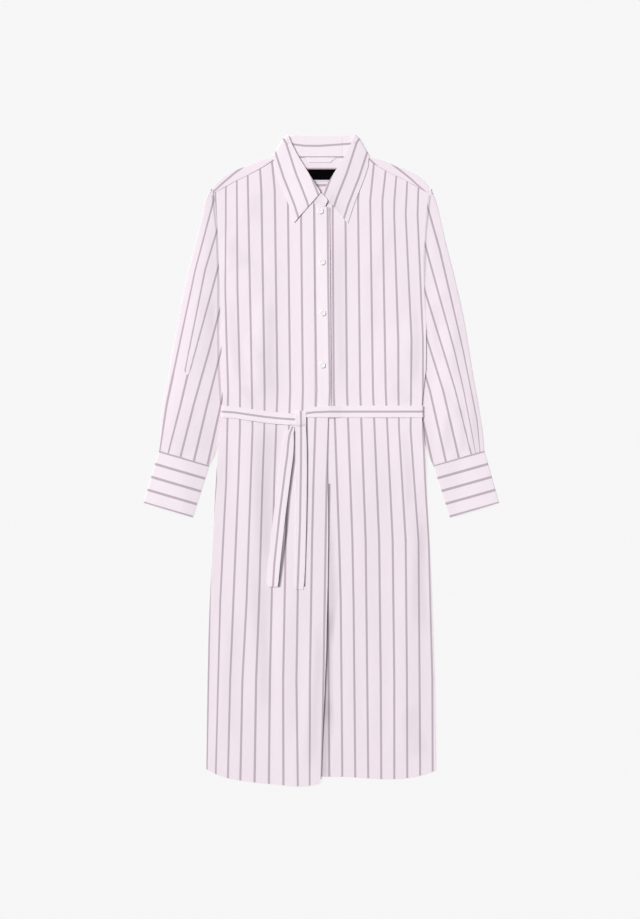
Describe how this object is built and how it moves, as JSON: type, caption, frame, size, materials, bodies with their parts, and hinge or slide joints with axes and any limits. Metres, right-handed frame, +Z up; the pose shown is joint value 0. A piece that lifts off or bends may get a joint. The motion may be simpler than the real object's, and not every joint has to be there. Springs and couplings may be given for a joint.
{
  "type": "shirt dress",
  "caption": "Midi shirt dress laid flat, with pointed collar, long cuffed sleeves, buttoned placket and tied belt.",
  "frame": {"origin": "centre of the bounding box at the surface that the dress lies on", "axes": "+Y from hem to collar, +Z up out of the front of the dress, +X towards the wearer's left sleeve"},
  "size_m": [0.6572, 1.2051, 0.0097],
  "materials": {
    "striped_cotton": "plain-woven cotton, very pale pink with thin mauve stripes",
    "pearly_plastic": "glossy off-white button",
    "dark_tape": "matt black woven tape"
  },
  "bodies": {
    "root": {"back": "striped_cotton", "yoke": "striped_cotton", "right_front": "striped_cotton", "left_front": "striped_cotton", "front_placket": "striped_cotton", "collar_stand": "striped_cotton", "collar_fall": "striped_cotton", "right_sleeve": "striped_cotton", "left_sleeve": "striped_cotton", "right_cuff": "striped_cotton", "left_cuff": "striped_cotton", "belt_round": "striped_cotton", "belt_knot": "striped_cotton", "belt_tail_front": "striped_cotton", "belt_tail_under": "striped_cotton", "button_1": "pearly_plastic", "button_2": "pearly_plastic", "button_3": "pearly_plastic", "button_4": "pearly_plastic", "neck_loop": "striped_cotton", "neck_label": "dark_tape"}
  },
  "joints": []
}
